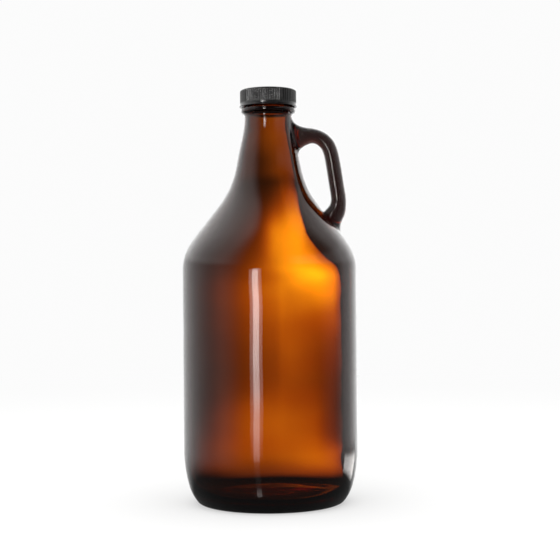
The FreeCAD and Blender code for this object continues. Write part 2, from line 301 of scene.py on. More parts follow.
def nearest_row(z):
    return int(np.argmin(np.abs(shoulder[:, 1] - z)))


def shoulder_part(z0, z1, count):
    return even(shoulder[nearest_row(z0):nearest_row(z1) + 1], count)


def wall_thickness(z):
    return (NECK_WALL
            + (SHOULDER_WALL - NECK_WALL) * float(smoothstep(-262.0, -215.0, -z))
            + (BODY_WALL - SHOULDER_WALL) * float(smoothstep(-195.0, -WALL_TOP, -z)))


def finish_profile(start):
    """Outside from the top of the neck over the bead and the lip to the mouth."""
    return outline(
        start,
        ((NECK_R, NECK_TOP), 1),
        # bead
        ((17.22, 276.60), (18.10, 277.45), 6),
        ((18.98, 277.98), (BEAD_R, 278.90), 6),
        ((BEAD_R, 280.35), 3),
        ((19.00, 281.12), (18.25, 281.50), 6),
        ((17.75, 281.50), 2),
        ((17.50, 281.60), (FINISH_R, 281.85), 4),
        # threaded barrel
        ((FINISH_R, 290.45), 34),
        # lip
        ((16.99, 291.44), (16.00, LIP_Z), 8),
        ((15.30, LIP_Z), 2),
        ((14.52, 291.53), (MOUTH_R, MOUTH_Z), 7))


def inside_profile():
    """Inside from the mouth down to the floor, short of the axis."""
    rows = np.linspace(0, len(shoulder) - 1, 31).astype(int)
    offset = []
    for (r, z), (dir_r, dir_z) in zip(shoulder[rows], shoulder_dir[rows]):
        thick = wall_thickness(z)
        offset.append((r - dir_z * thick, z + dir_r * thick))
    offset[0] = (INNER_R, WALL_TOP)
    offset = [p for p in offset if p[1] < 263.5] + [(THROAT_R + 0.22, 268.6), (THROAT_R, 271.5)]
    return join(
        outline((MOUTH_R, MOUTH_Z), ((MOUTH_R, 285.10), 5), ((THROAT_R, 284.50), 1),
                ((THROAT_R, 271.50), 8)),
        clamped_spline(offset, (0, 1), (0, 1), 70)[::-1],
        line((INNER_R, WALL_TOP), (INNER_R, 44.0), 40),
        clamped_spline(INNER_HEEL, (1, 0), (0, 1), 44)[::-1][:-1])


heel = heel_points()
below_lower = join(
    clamped_spline(UNDERSIDE, (1, 0), (1, 0), 16)[1:],
    line(UNDERSIDE[-1], (FOOT_R, 0.0), 4),
    heel,
    line(heel[-1], (BODY_R, WALL_TOP), 40),
    shoulder_part(WALL_TOP, LOWER_Z[0], 22))
upper_part = shoulder_part(*UPPER_Z, UPPER_ROWS)
outside = join(
    below_lower,
    shoulder_part(*LOWER_Z, LOWER_ROWS),
    shoulder_part(LOWER_Z[1], UPPER_Z[0], ROWS_BETWEEN),
    upper_part,
    finish_profile(tuple(upper_part[-1])))
bottle_profile = join(outside, inside_profile())

Patch = namedtuple("Patch", "row0 row1 width")
lower_row0 = len(below_lower) - 1
upper_row0 = lower_row0 + LOWER_ROWS + ROWS_BETWEEN
LOWER = Patch(lower_row0, lower_row0 + LOWER_ROWS, LOWER_WIDTH)
UPPER = Patch(upper_row0, upper_row0 + UPPER_ROWS, UPPER_WIDTH)


# ============================ bottle wall ============================
def draw_streaks(angle, z):
    """Narrow vertical streaks round the inside, seeded."""
    rng = np.random.RandomState(31)
    total = np.zeros(angle.shape)
    for _ in range(10):
        lobes = rng.randint(9, 27)
        phase = rng.uniform(0, 6.28)
        sway = np.sin(z / rng.uniform(25, 60) + rng.uniform(0, 6.28))
        swell = np.sin(z / rng.uniform(30, 70) + rng.uniform(0, 6.28))
        total += np.sin(lobes * angle + phase + 0.5 * sway) * (0.6 + 0.4 * swell) / lobes * 12
    return total


def add_relief(radius, z, angle):
    """Thread on the finish, and blown unevenness: more on the inside than the outside."""
    is_outside = np.arange(len(bottle_profile))[:, None] < len(outside)
    barrel = is_outside & (np.abs(radius - FINISH_R) < 1e-6) & (z > 281.9)
    thread = thread_height(angle, z, THREAD_TOP_Z, THREAD_TOP_ANGLE, turn=420.0,
                           base_width=2.1, crest_width=1.2, fade=28.0)
    radius = np.where(barrel, radius + (THREAD_R - FINISH_R) * thread, radius)

    # amplitudes in mm, each faded in and out by height or radius
    wall_amp = (0.20 * smoothstep(20, 45, z) * (1 - 0.55 * smoothstep(150, 200, z))
                * (1 - smoothstep(235, 262, z)))
    floor_amp = 0.16 * (1 - smoothstep(18, 34, z)) * smoothstep(4, 25, radius)
    streak_amp = 0.011 * smoothstep(16, 34, z) * (1 - smoothstep(262, 271, z))
    radius = np.where(~is_outside & (z < 263),
                      radius - wall_amp * (0.55 + 0.45 * waves(angle, z, 11)), radius)
    radius = np.where(~is_outside, radius + streak_amp * draw_streaks(angle, z), radius)
    z = np.where(~is_outside & (z < 34),
                 z + floor_amp * waves(angle, radius, 5, shortest=16, longest=40), z)
    # the outside is left true near the handle's lower root and above it
    root_z = LOWER_Z[0]
    outer_amp = 0.030 * ((1 - smoothstep(root_z - 12, root_z - 2, z)) * smoothstep(8, 30, z))
    radius = np.where(is_outside & (z < root_z),
                      radius + outer_amp * waves(angle, z, 23, shortest=22, longest=70), radius)
    return radius, z, angle


def wall_index(i, j):
    """Vertex number at profile row i and segment j; segment 0 is on +X."""
    return i * BOTTLE_SEGMENTS + (j % BOTTLE_SEGMENTS)


def signed_segment(j):
    half = BOTTLE_SEGMENTS // 2
    return (j + half) % BOTTLE_SEGMENTS - half


def in_patch(i, j):
    return any(p.row0 <= i < p.row1 and -p.width // 2 <= signed_segment(j) < p.width // 2
               for p in (LOWER, UPPER))


def wall_faces():
    faces = []
    for i in range(len(bottle_profile) - 1):
        for j in range(BOTTLE_SEGMENTS):
            if not in_patch(i, j):
                faces.append((wall_index(i, j), wall_index(i, j + 1),
                              wall_index(i + 1, j + 1), wall_index(i + 1, j)))
    return faces


def close_at_axis(points, faces):
    """Fans on the axis that close the underside and the floor."""
    underside, floor = len(points), len(points) + 1
    points += [(0.0, 0.0, PUSH_UP), (0.0, 0.0, FLOOR_Z)]
    last = len(bottle_profile) - 1
    for j in range(BOTTLE_SEGMENTS):
        faces.append((wall_index(0, j + 1), wall_index(0, j), underside))
    for j in range(BOTTLE_SEGMENTS):
        faces.append((wall_index(last, j), wall_index(last, j + 1), floor))


def patch_loop(start, end, width):
    """Boundary of a patch, from the middle of row start towards +Y and round."""
    step = 1 if end > start else -1
    half = width // 2
    cells = [(start, j) for j in range(0, half)]
    cells += [(i, half) for i in range(start, end, step)]
    cells += [(end, j) for j in range(half, -half, -1)]
    cells += [(i, -half) for i in range(end, start, -step)]
    cells += [(start, j) for j in range(-half, 0)]
    return [wall_index(i, j) for i, j in cells]


def round_patch(points, patch, power=2.9):
    """Rounds a patch's outline: its corners move inwards along the glass."""
    half_width = patch.width / 2
    middle, half_rows = (patch.row0 + patch.row1) / 2, (patch.row1 - patch.row0) / 2
    moved = {}
    for k in patch_loop(*patch):
        i, j = divmod(k, BOTTLE_SEGMENTS)
        u, v = signed_segment(j) / half_width, (i - middle) / half_rows
        scale = (abs(u) ** power + abs(v) ** power) ** (-1 / power)
        row, column = middle + v * scale * half_rows, u * scale * half_width
        a, b = math.floor(row + 1e-9), math.floor(column + 1e-9)
        part_a, part_b = row - a, column - b
        place = np.zeros(3)
        for da, weight_a in ((0, 1 - part_a), (1, part_a)):
            for db, weight_b in ((0, 1 - part_b), (1, part_b)):
                place += weight_a * weight_b * np.array(points[wall_index(a + da, b + db)])
        moved[k] = tuple(place)
    for k, place in moved.items():
        points[k] = place


# ============================ handle ============================
def handle_station(s):
    """Cubic through the handle's stations at the fractional station number s."""
    s = float(s)
    i = math.floor(s)
    t = s - i
    p0, p1, p2, p3 = HANDLE[i - 1:i + 3]
    return 0.5 * ((2 * p1) + (p2 - p0) * t + (2 * p0 - 5 * p1 + 4 * p2 - p3) * t * t
                  + (3 * p1 - p0 - 3 * p2 + p3) * t ** 3)


def bar_point(s, angle, power=2.35):
    """Point on the bar's rounded-box section; angle 0 is its outer side, then towards +Y."""
    outer_x, outer_z, inner_x, inner_z, width = handle_station(s)
    c, sn = math.cos(angle), math.sin(angle)
    c = math.copysign(abs(c) ** (2 / power), c)
    sn = math.copysign(abs(sn) ** (2 / power), sn)
    return np.array([(outer_x + inner_x) / 2 + (outer_x - inner_x) / 2 * c, width / 2 * sn,
                     (outer_z + inner_z) / 2 + (outer_z - inner_z) / 2 * c])


def loop_angles(edge, sign):
    """Angle of each boundary point about its patch; sign +1 counts from the top, -1 the bottom."""
    along = run_length(edge)
    total = along[-1] + np.linalg.norm(edge[0] - edge[-1])
    y = edge[:, 1] / np.abs(edge[:, 1]).max()
    low, high = edge[:, 2].min(), edge[:, 2].max()
    z = (edge[:, 2] - (high + low) / 2) / ((high - low) / 2)
    angle = np.arctan2(y, sign * z) % (2 * math.pi)
    angle[0] = 0.0
    return 0.5 * angle + 0.5 * along / total * 2 * math.pi


def bar_rings(upper_angles, lower_angles):
    """Sections of the bar; near each end their points line up with the patch there."""
    stations = np.linspace(BAR_START, BAR_END, 400)
    middles = np.array([handle_station(s)[:4].reshape(2, 2).mean(axis=0) for s in stations])
    along = run_length(middles)
    stations = np.interp(np.linspace(0, along[-1], BAR_STEPS + 1), along, stations)
    # angles that space points evenly round a typical section
    full = np.linspace(0, 2 * math.pi, 721)
    around = run_length(np.array([bar_point(9.0, t) for t in full]))
    count = len(upper_angles)
    spaced = np.interp(np.arange(count) / count * around[-1], around, full)
    rings = []
    for i, s in enumerate(stations):
        f = i / BAR_STEPS
        upper = float(1 - smoothstep(0, 0.30, f))
        lower = float(smoothstep(0.70, 1, f))
        angles = (upper * (0.35 * upper_angles + 0.65 * spaced)
                  + lower * (0.35 * lower_angles + 0.65 * spaced)
                  + (1 - upper - lower) * spaced)
        rings.append(np.array([bar_point(s, a) for a in angles]))
    return rings


def surface_normal(p):
    """Outward normal of the shoulder or neck at point p."""
    r = math.hypot(p[0], p[1])
    dir_r, dir_z = shoulder_dir[nearest_row(p[2])]
    return np.array([dir_z * p[0] / r, dir_z * p[1] / r, -dir_r])


def root_fillet(edge, ring, next_ring, wall_pull, bar_pull):
    """Rings between a patch's edge and the bar's end ring, tangent to the wall and the bar."""
    centre = edge.mean(axis=0)
    bar_dir = next_ring - ring
    bar_dir /= np.linalg.norm(bar_dir, axis=1)[:, None]
    wall_dir = np.zeros_like(edge)
    for k, p in enumerate(edge):
        normal = surface_normal(p)
        d = (0.55 * (centre - p) / np.linalg.norm(centre - p)
             + 0.45 * (ring[k] - p) / np.linalg.norm(ring[k] - p))
        d = d - normal * (d @ normal)
        wall_dir[k] = d / np.linalg.norm(d)
    gap = np.linalg.norm(ring - edge, axis=1)[:, None]
    fillet = []
    for i in range(1, FILLET_STEPS):
        t = i / FILLET_STEPS
        fillet.append((2 * t**3 - 3 * t**2 + 1) * edge
                      + (t**3 - 2 * t**2 + t) * wall_dir * gap * wall_pull
                      + (-2 * t**3 + 3 * t**2) * ring
                      + (t**3 - t**2) * bar_dir * gap * bar_pull)
    return fillet


def add_handle(points, faces):
    """Adds the bar and its fillets; returns the rings to relax at the two roots."""
    # the bar's outer side meets the upper patch at its top and the lower one at its bottom
    upper_loop = patch_loop(UPPER.row1, UPPER.row0, UPPER.width)
    lower_loop = patch_loop(*LOWER)
    wall = np.array(points)
    upper_edge, lower_edge = wall[upper_loop], wall[lower_loop]
    rings = bar_rings(loop_angles(upper_edge, 1), loop_angles(lower_edge, -1))
    upper = root_fillet(upper_edge, rings[0], rings[1], wall_pull=1.15, bar_pull=0.9)
    lower = root_fillet(lower_edge, rings[-1], rings[-2], wall_pull=1.05, bar_pull=0.9)
    ids = [upper_loop]
    for ring in upper + rings + lower[::-1]:
        ids.append(list(range(len(points), len(points) + len(ring))))
        points += [tuple(p) for p in ring]
    ids.append(lower_loop)
    for a, b in zip(ids[:-1], ids[1:]):
        for k in range(len(a)):
            k2 = (k + 1) % len(a)
            faces.append((a[k], a[k2], b[k2], b[k]))
    return upper + lower + rings[:3] + rings[-3:]


def relaxer(rings):
    """Returns a step that evens the handle's roots.

    Vertices are found by rounded position, so those that round differently once stored in
    single precision stay put."""
    def key(x, y, z):
        return round(x, 4), round(y, 4), round(z, 4)

    wanted = {key(*p) for ring in rings for p in ring}

    def relax(bm):
        chosen = [v for v in bm.verts
                  if key(v.co.x / MM, v.co.y / MM, v.co.z / MM) in wanted]
        for _ in range(8):
            bmesh.ops.smooth_vert(bm, verts=chosen, factor=0.5,
                                  use_axis_x=True, use_axis_y=True, use_axis_z=True)
    return relax


def build_bottle():
    points = grid_points(*add_relief(*turned_grid(bottle_profile, BOTTLE_SEGMENTS)))
    faces = wall_faces()
    close_at_axis(points, faces)
    for patch in (UPPER, LOWER):
        round_patch(points, patch)
    root_rings = add_handle(points, faces)
    return make_mesh("glass_bottle_hi", points, faces, relaxer(root_rings))


def mark_handle(ob):
    """Point attribute "handle": 0 on the bottle's own wall, 1 out on the handle."""
    co = np.empty(len(ob.data.vertices) * 3)
    ob.data.vertices.foreach_get("co", co)
    co = co.reshape(-1, 3) / MM
    wall_r = np.interp(co[:, 2], shoulder[:, 1], shoulder[:, 0])
    off_wall = smoothstep(0.4, 4.5, np.hypot(co[:, 0], co[:, 1]) - wall_r)
    off_wall = np.where((co[:, 2] > 186) & (co[:, 2] < 275.5), off_wall, 0.0)
    attribute = ob.data.attributes.new("handle", "FLOAT", "POINT")
    attribute.data.foreach_set("value", off_wall.astype(np.float32))


bottle = build_bottle()

# ============================ screw cap, mm ============================
CAP_Z0, CAP_Z1, CAP_R, RIM_R = 282.00, 294.25, 20.15, 20.60
PANEL_Z = CAP_Z1 - 0.22           # the top's slightly sunk middle
CEILING = CAP_Z1 - 1.30
BORE_R, SEAT_R, CAP_THREAD_R = 18.95, 18.55, 17.75
RIBS, RIB_DEPTH, RIB_Z0 = 72, 0.34, 284.15
CAP_THREAD_LEAD = 150             # degrees the cap's thread starts before the bottle's

cap_outside = outline(
    (0.0, PANEL_Z),
    ((15.9, PANEL_Z), 10),
    ((16.35, CAP_Z1 - 0.17), (16.62, CAP_Z1 - 0.04), 4),
    ((16.80, CAP_Z1), 1),
    ((CAP_R - 1.55, CAP_Z1), 4),
    ((CAP_R - 0.44, CAP_Z1 - 0.47), (CAP_R, CAP_Z1 - 1.60), 10),
    ((CAP_R, RIB_Z0 + 1.4), 7),
    ((CAP_R, RIB_Z0 - 0.10), 8))
cap_profile = join(cap_outside, outline(
    (CAP_R, RIB_Z0 - 0.10),
    # flared rim
    ((CAP_R + 0.10, CAP_Z0 + 1.22), (RIM_R - 0.06, CAP_Z0 + 0.52), 6),
    ((RIM_R, CAP_Z0 + 0.24), (RIM_R - 0.22, CAP_Z0), 4),
    ((BORE_R + 0.52, CAP_Z0), 2),
    # bore, with a narrow ring below the ceiling
    ((BORE_R, CAP_Z0 + 0.75), 2),
    ((BORE_R, CEILING - 1.85), 26),
    ((SEAT_R, CEILING - 1.42), 2),
    ((SEAT_R, CEILING - 1.27), 1),
    ((BORE_R, CEILING - 1.12), 2),
    ((BORE_R, CEILING), 3),
    ((0.0, CEILING), 5)))


def shape_cap(radius, z, angle):
    """Flat-topped ribs outside, whose grooves run out at both ends, and the thread inside."""
    is_outside = np.arange(radius.shape[0])[:, None] < len(cap_outside)
    phase = 0.5 - 0.5 * np.cos(RIBS * angle)
    groove = 0.35 * phase + 0.65 * smoothstep(0.30, 0.95, phase)
    ends = (smoothstep(RIB_Z0 + 0.05, RIB_Z0 + 1.0, z)
            * (1 - smoothstep(CAP_Z1 - 1.25, CAP_Z1 - 0.35, z)))
    radius = np.where(is_outside & (radius > 18.0), radius - RIB_DEPTH * groove * ends, radius)
    bore = (np.abs(radius - BORE_R) < 1e-6) & (z < CEILING - 1.8) & (z > CAP_Z0 + 0.7)
    # half a pitch below the bottle's thread, with a little clearance
    top_z = THREAD_TOP_Z - THREAD_PITCH / 2 + 0.12 + THREAD_PITCH * CAP_THREAD_LEAD / 360
    thread = thread_height(angle, z, top_z, THREAD_TOP_ANGLE + CAP_THREAD_LEAD, turn=450.0,
                           base_width=1.75, crest_width=0.8, fade=20.0)
    return np.where(bore, radius - (BORE_R - CAP_THREAD_R) * thread, radius)


cap = revolve("screw_cap_hi", cap_profile, 720, shape_cap)

# ============================ cone liner, mm ============================
LINER_R, LINER_TOP = 18.88, CEILING - 0.05
DISC_Z = LINER_TOP - 0.95         # underside of the disc
CONE_TOP_R, CONE_END_R, CONE_LENGTH, CONE_WALL = 13.95, 11.60, 6.6, 0.95
CONE_END_Z = DISC_Z - CONE_LENGTH
CONE_INNER_R = CONE_TOP_R - CONE_WALL

liner_profile = outline(
    (0.0, LINER_TOP),
    # disc
    ((LINER_R - 0.15, LINER_TOP), 6),
    ((LINER_R, LINER_TOP - 0.15), 2),
    ((LINER_R, DISC_Z + 0.15), 2),
    ((LINER_R - 0.15, DISC_Z), 2),
    ((CONE_TOP_R + 0.25, DISC_Z), 6),
    # hollow cone, down its outside and back up its inside
    ((CONE_TOP_R + 0.02, DISC_Z - 0.09), (CONE_TOP_R - 0.10, DISC_Z - 0.30), 4),
    ((CONE_END_R + 0.05, CONE_END_Z + 0.45), 10),
    ((CONE_END_R - CONE_WALL / 2 + 0.02, CONE_END_Z),
     (CONE_END_R - CONE_WALL + 0.03, CONE_END_Z + 0.45), 8),
    ((CONE_INNER_R - 0.32, DISC_Z - 0.55), 9),
    ((CONE_INNER_R - 0.46, DISC_Z - 0.18), (CONE_INNER_R - 0.90, DISC_Z), 4),
    ((0.0, DISC_Z), 6))
liner = revolve("cone_liner_hi", liner_profile, 144)

mark_handle(bottle)

for ob, node, body, slot in ((bottle, "glass_bottle", "bottle", "amber_glass"),
                             (cap, "screw_cap", "cap", "cap_black"),
                             (liner, "cone_liner", "liner", "liner_white")):
    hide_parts(node)
    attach(ob, body)


# ============================ shader graphs ============================
class Value:
    """A float output in a shader graph; arithmetic on it adds Math nodes."""
    def __init__(self, graph, socket):
        self.graph = graph
        self.socket = socket

    def __add__(self, other):
        return self.graph.math("ADD", self, other)

    def __radd__(self, other):
        return self.graph.math("ADD", other, self)

    def __sub__(self, other):
        return self.graph.math("SUBTRACT", self, other)

    def __rsub__(self, other):
        return self.graph.math("SUBTRACT", other, self)

    def __mul__(self, other):
        return self.graph.math("MULTIPLY", self, other)

    def __rmul__(self, other):
        return self.graph.math("MULTIPLY", other, self)

    def __truediv__(self, other):
        return self.graph.math("DIVIDE", self, other)

    def __abs__(self):
        return self.graph.math("ABSOLUTE", self)


class Graph:
    """A new material and its nodes."""
    def __init__(self, name):
        self.material = bpy.data.materials.new(name)
        self.material.use_nodes = True
        self.tree = self.material.node_tree
        self.tree.nodes.clear()
        self.output = self.new("ShaderNodeOutputMaterial")

    def put(self, socket, value):
        """Links value to the socket if it is an output, or else sets it."""
        if isinstance(value, Value):
            value = value.socket
        if isinstance(value, bpy.types.NodeSocket):
            self.tree.links.new(value, socket)
        else:
            socket.default_value = value

    def new(self, kind, inputs=(), **props):
        """Node with inputs given in order, or in a dict by name or number."""
        node = self.tree.nodes.new(kind)
        for name, value in props.items():
            setattr(node, name, value)
        for key, value in inputs.items() if isinstance(inputs, dict) else enumerate(inputs):
            self.put(node.inputs[key], value)
        return node

    def shader(self, kind, inputs=()):
        return self.new(kind, inputs).outputs[0]

    def surface(self, shader):
        self.put(self.output.inputs["Surface"], shader)

    def principled(self, inputs):
        self.surface(self.shader("ShaderNodeBsdfPrincipled", inputs))

    def math(self, operation, *values):
        return Value(self, self.new("ShaderNodeMath", values, operation=operation).outputs[0])

    def rise(self, low, high, value):
        """Smooth step from 0 at low to 1 at high."""
        node = self.new("ShaderNodeMapRange",
                        {"Value": value, "From Min": low, "From Max": high},
                        interpolation_type="SMOOTHSTEP")
        return Value(self, node.outputs[0])

    def fall(self, low, high, value):
        return 1.0 - self.rise(low, high, value)

    def band(self, value, start, full, fade, end):
        """0 up to start, 1 from full to fade, 0 again from end."""
        return self.rise(start, full, value) * self.fall(fade, end, value)

    def curve(self, value, points):
        """Straight-line curve through (position, value) points."""
        low, high = points[0][0], points[-1][0]
        top = max(v for _, v in points)
        scaled = self.new("ShaderNodeMapRange",
                          {"Value": value, "From Min": low, "From Max": high})
        node = self.new("ShaderNodeFloatCurve", {"Value": scaled.outputs[0]})
        knots = node.mapping.curves[0].points
        for i, (place, v) in enumerate(points):
            u = (place - low) / (high - low)
            if i < 2:
                knots[i].location = (u, v / top)
            else:
                knots.new(u, v / top)
        for knot in knots:
            knot.handle_type = "VECTOR"
        node.mapping.update()
        return Value(self, node.outputs[0]) * top

    def coords(self):
        return self.new("ShaderNodeTexCoord").outputs["Object"]

    def split(self, vector):
        return [Value(self, s) for s in self.new("ShaderNodeSeparateXYZ", (vector,)).outputs]

    def incoming(self):
        """Direction from the shaded point back along the line of sight."""
        return self.new("ShaderNodeNewGeometry").outputs["Incoming"]

    def stretch(self, vector, scale):
        return self.new("ShaderNodeMapping", {"Vector": vector, "Scale": scale}).outputs[0]

    def noise(self, vector, scale, detail=3.0, rough=0.55, distortion=0.0):
        node = self.new("ShaderNodeTexNoise",
                        {"Vector": vector, "Scale": scale, "Detail": detail,
                         "Roughness": rough, "Distortion": distortion})
        return Value(self, node.outputs["Fac"])

    def ramp(self, factor, low, high):
        node = self.new("ShaderNodeValToRGB", (factor,))
        node.color_ramp.elements[0].color = low
        node.color_ramp.elements[1].color = high
        return node.outputs[0]

    def mix_color(self, factor, a, b):
        return self.new("ShaderNodeMix", {0: factor, 6: a, 7: b}, data_type="RGBA").outputs[2]

    def bump(self, strength, height):
        return self.new("ShaderNodeBump", {"Strength": strength, "Distance": 1.0,
                                           "Height": height}).outputs[0]


# ============================ materials, lengths in metres ============================
def amber_glass():
    g = Graph("amber_glass")
    coords = g.coords()
    x, y, z = g.split(coords)
    # faint handling marks: soft smears, denser on the heel and the shoulder's edge
    smear = g.noise(g.stretch(coords, (1, 1, 0.35)), scale=55, detail=4, rough=0.6,
                    distortion=0.4)
    fine = g.noise(coords, scale=260, detail=1, rough=0.5)
    smear = g.rise(0.52, 0.80, smear)
    denser = g.fall(0.006, 0.022, abs(z - 0.024)) + g.fall(0.004, 0.014, abs(z - 0.164))
    marks = (0.25 + denser * 0.6) * (smear * fine)
    # the handle has a duller skin
    handle = Value(g, g.new("ShaderNodeAttribute", attribute_name="handle").outputs["Fac"])
    dull = handle * (0.015 + smear * 0.04)
    # relief heights: gentle ripple, seam in the handle's plane, fine unevenness
    ripple = g.noise(g.stretch(coords, (1, 1, 0.55)), scale=22, detail=2, rough=0.45)
    seam = g.fall(0.00008, 0.00034, abs(y))
    uneven = g.noise(coords, scale=180, detail=0, rough=0.5)
    relief = ripple * 0.00040 + (seam * 0.00006 + uneven * 0.0000016)
    # 110 ridges round the bearing edge
    knurl = g.math("SINE", g.math("ARCTAN2", y, x) * 110.0) * g.fall(0.0012, 0.0026, z)
    relief = relief + g.math("MAXIMUM", knurl, 0.0) * 0.00012
    g.principled({
        "Base Color": (1, 1, 1, 1),
        "Transmission Weight": 1.0,
        "IOR": 1.52,
        "Roughness": 0.012 + marks * 0.07 + dull,
        "Sheen Weight": handle * 0.34,
        "Sheen Roughness": 0.55,
        "Sheen Tint": (1.0, 0.93, 0.91, 1),
        "Normal": g.bump(0.55, relief)})
    # the amber comes from absorption inside the glass
    g.put(g.output.inputs["Volume"], g.shader("ShaderNodeVolumeAbsorption", {
        "Color": (0.945, 0.695, 0.03, 1), "Density": 860.0}))
    return g.material


def cap_black():
    g = Graph("cap_black")
    coords = g.coords()
    x, y, _ = g.split(coords)
    grain = g.noise(coords, scale=2600, detail=3, rough=0.6)
    cloud = g.noise(coords, scale=120, detail=4, rough=0.6, distortion=0.3)
    # patches of paler, smoother wear on the rib crests and the rim
    radius = g.math("SQRT", x * x + y * y)
    crest = (g.rise((CAP_R - 0.09) * MM, CAP_R * MM, radius)
             * g.rise(0.45, 0.75, g.noise(coords, scale=420, detail=3, rough=0.6)))
    black = g.ramp(g.rise(0.3, 0.75, cloud),
                   (0.0035, 0.0032, 0.0032, 1), (0.0075, 0.0070, 0.0070, 1))
    g.principled({
        "Base Color": g.mix_color(crest * 0.5, black, (0.020, 0.019, 0.019, 1)),
        "Roughness": 0.09 + (cloud * 0.08 + grain * 0.03) - crest * 0.06,
        "IOR": 1.55,
        "Normal": g.bump(0.35, grain * 0.000018
                         + g.noise(coords, scale=700, detail=2) * 0.00003)})
    return g.material


def liner_white():
    g = Graph("liner_white")
    coords = g.coords()
    cloud = g.noise(coords, scale=160, detail=3, rough=0.55)
    g.principled({
        "Base Color": g.ramp(g.rise(0.3, 0.7, cloud),
                             (0.74, 0.74, 0.70, 1), (0.86, 0.86, 0.83, 1)),
        "Subsurface Weight": 0.35,
        "Subsurface Radius": (1.0, 0.9, 0.75),
        "Subsurface Scale": 0.0015,
        "Roughness": 0.34 + g.noise(coords, scale=800, detail=2) * 0.14,
        "Normal": g.bump(0.3, g.noise(coords, scale=1500, detail=3) * 0.00003)})
    return g.material


bottle.data.materials.append(amber_glass())
cap.data.materials.append(cap_black())
liner.data.materials.append(liner_white())


# ============================ stage: floor, world and camera, metres ============================
def circle(radius, segments, z):
    return [(radius * math.cos(a), radius * math.sin(a), z)
            for a in np.arange(segments) * 2 * math.pi / segments]


def stage_mesh(name, points, faces, rays, parent=None):
    """Stage piece that only the named kinds of ray can see."""
    mesh = bpy.data.meshes.new(name)
    mesh.from_pydata(points, [], faces)
    ob = bpy.data.objects.new(name, mesh)
    scene.collection.objects.link(ob)
    ob.parent = parent
    for ray in ("camera", "diffuse", "glossy", "transmission", "shadow", "volume_scatter"):
        setattr(ob, "visible_" + ray, ray in rays)
    return ob


def stage_graph(ob, name):
    """Graph of a glowing material for ob that isn't sampled as a lamp."""
    g = Graph(name)
    g.material.cycles.emission_sampling = "NONE"
    ob.data.materials.append(g.material)
    return g


PALE = (0.97, 0.97, 0.97, 1)


def build_floor():
    """Wide pale disc that melts into the background as its own glow takes over."""
    segments = 96
    ob = stage_mesh("floor", circle(6, segments, 0.0), [tuple(range(segments))],
                    rays=("camera", "diffuse", "shadow"))
    g = stage_graph(ob, "floor_pale")
    coords = g.coords()
    distance = g.new("ShaderNodeVectorMath", (coords,), operation="LENGTH").outputs["Value"]
    glow_share = 0.52 + 0.48 * g.rise(0.35, 1.30, distance)
    color = g.ramp(g.noise(coords, scale=14, detail=4),
                   (0.80, 0.80, 0.795, 1), (0.815, 0.815, 0.81, 1))
    matt = g.shader("ShaderNodeBsdfDiffuse", {"Color": color})
    glow = g.shader("ShaderNodeEmission", {"Color": PALE})
    g.surface(g.shader("ShaderNodeMixShader", (glow_share, matt, glow)))


build_floor()

world = bpy.data.worlds.new("pale")
scene.world = world
world.use_nodes = True
background = world.node_tree.nodes["Background"]
background.inputs[0].default_value = PALE
background.inputs[1].default_value = 1.0

# The camera looks along +Y, a little under a metre away and level with the body.
EYE_Z, EYE_DISTANCE = 0.1536, 0.912
TURN_RIGHT, TILT_UP, ROLL = math.radians(0.47), math.radians(0.30), math.radians(0.47)

lens = bpy.data.cameras.new("camera")
lens.sensor_width = 36.0
lens.lens = 81.9
lens.clip_start = 0.01
lens.clip_end = 50
cam = bpy.data.objects.new("camera", lens)
scene.collection.objects.link(cam)
look = Vector((math.sin(TURN_RIGHT) * math.cos(TILT_UP),
               math.cos(TURN_RIGHT) * math.cos(TILT_UP),
               math.sin(TILT_UP)))
cam.location = (0.0, -EYE_DISTANCE, EYE_Z)
cam.rotation_mode = "QUATERNION"
cam.rotation_quaternion = Quaternion(look, ROLL) @ look.to_track_quat("-Z", "Y")
scene.camera = cam

# The studio turns about Z with the camera, as a turntable shot does.
rig = bpy.data.objects.new("studio_rig", None)
scene.collection.objects.link(rig)
follow = rig.constraints.new("LOCKED_TRACK")
follow.target = cam
follow.track_axis = "TRACK_NEGATIVE_Y"
follow.lock_axis = "LOCK_Z"


# ============================ lamps, metres and watts ============================
def area_light(name, place, target, size_x, size_y, power, hidden_from):
    """Rectangular lamp aimed at target, unseen by the camera and by the named rays."""
    lamp = bpy.data.lights.new(name, "AREA")
    lamp.shape = "RECTANGLE"
    lamp.size = size_x
    lamp.size_y = size_y
    lamp.energy = power
    ob = bpy.data.objects.new(name, lamp)
    scene.collection.objects.link(ob)
    ob.parent = rig
    ob.location = place
    aim = (Vector(target) - Vector(place)).normalized()
    ob.rotation_mode = "QUATERNION"
    ob.rotation_quaternion = aim.to_track_quat("-Z", "Y")
    for ray in ("camera",) + hidden_from:
        setattr(ob, "visible_" + ray, False)
    return ob


def polar(azimuth, distance, z):
    """Place at an azimuth in degrees: 0 is the camera's side, positive to its right."""
    a = math.radians(azimuth)
    return (distance * math.sin(a), -distance * math.cos(a), z)


area_light("overhead", (0.0, -0.15, 1.5), target=(0, 0, 0), size_x=1.6, size_y=1.6,
           power=15.0, hidden_from=("transmission", "glossy"))
area_light("front_fill", (-0.6, -1.6, 0.7), target=(0, 0, 0.12), size_x=0.9, size_y=0.9,
           power=3.0, hidden_from=("transmission", "glossy"))
strip = area_light("cap_strip", polar(-24.0, 0.9, 0.50), target=(0, 0, 0.288),
                   size_x=0.016, size_y=0.30, power=1.9,
                   hidden_from=("transmission", "diffuse"))
strip_receivers = bpy.data.collections.new("strip_lights_these")
strip_receivers.objects.link(cap)
strip.light_linking.receiver_collection = strip_receivers


